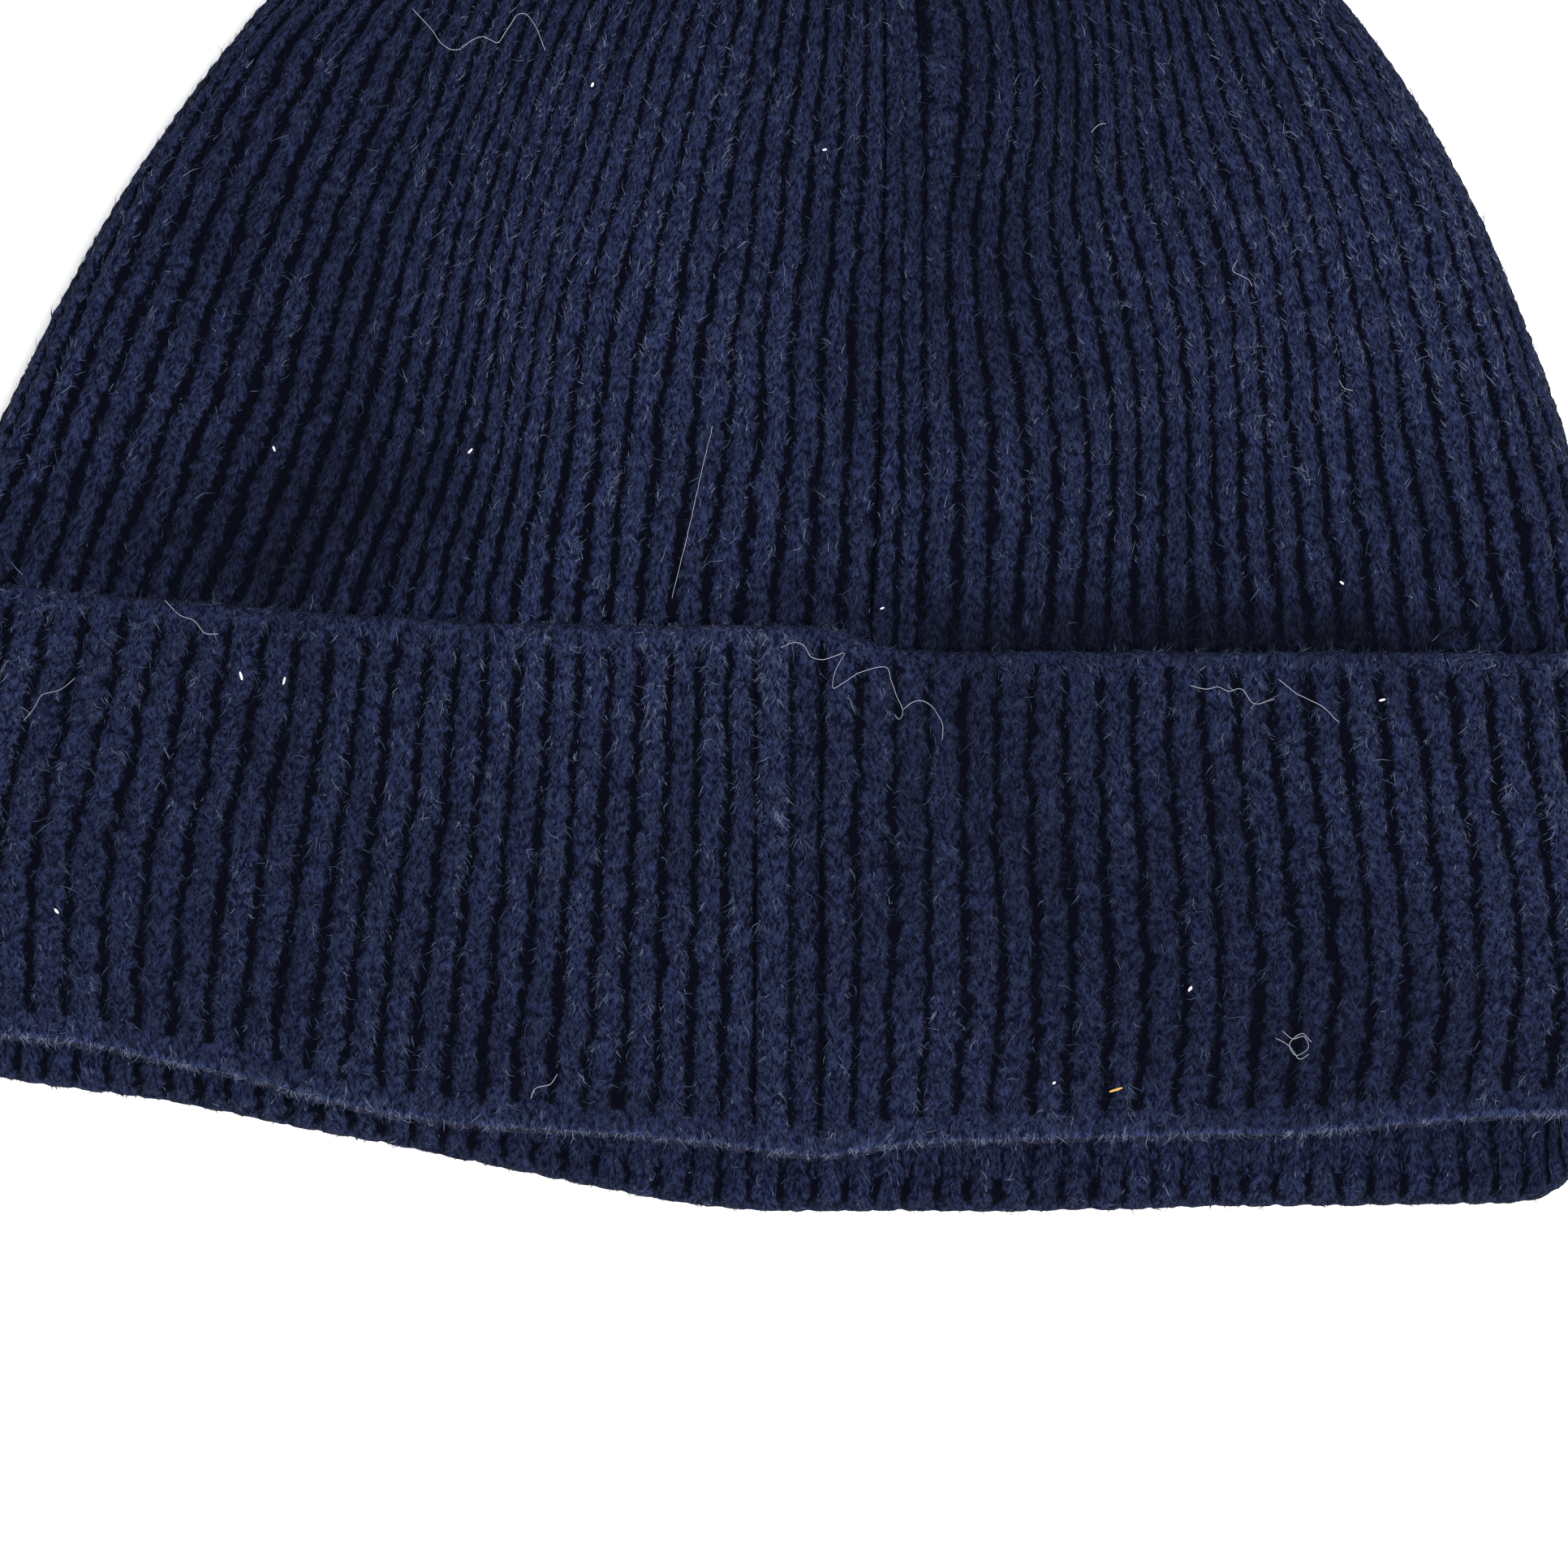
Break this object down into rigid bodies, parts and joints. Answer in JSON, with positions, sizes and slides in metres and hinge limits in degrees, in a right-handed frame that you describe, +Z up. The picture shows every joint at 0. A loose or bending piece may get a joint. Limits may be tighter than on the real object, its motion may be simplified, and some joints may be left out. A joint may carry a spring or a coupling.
{
  "type": "knit beanie",
  "caption": "Rib-knit beanie with a turned-up cuff and gathered crown, lying flat with its back seam up; the cuff draws down over the mouth and the hat is open inside.",
  "frame": {"origin": "on the table under the middle of the hat's footprint", "axes": "+X runs across the hat's width, +Y from the mouth to the crown, +Z up from the table through the layers to the back seam"},
  "size_m": [0.2226, 0.2036, 0.0211],
  "materials": {
    "knit_body": "soft one-by-one rib knit in dark navy wool-blend yarn, matt and slightly fuzzy",
    "knit_cuff": "one-by-one rib knit in dark navy wool-blend yarn, matt and slightly fuzzy",
    "knit_seam": "sewn selvedge of navy knit, uneven stitches",
    "knit_edge": "smooth turned or cast-on edge of navy knit",
    "label": "plain white woven satin tape, blank"
  },
  "bodies": {
    "hat": {"body_back_left": "knit_body", "body_back_right": "knit_body", "body_front": "knit_body", "body_back_seam": "knit_seam", "crown_gather": "knit_seam", "care_label": "label"},
    "cuff": {"cuff_back_left": "knit_cuff", "cuff_back_right": "knit_cuff", "cuff_front": "knit_cuff", "cuff_back_seam": "knit_seam", "cuff_fold_edge_back": "knit_edge", "cuff_fold_edge_front": "knit_edge", "cuff_cast_on_edge_back": "knit_edge", "cuff_cast_on_edge_front": "knit_edge"}
  },
  "joints": [
    {"name": "cuff_turn_down", "type": "slide", "parent": "hat", "child": "cuff", "axis": [0, -1, 0], "range_m": [0, 0.052]}
  ]
}
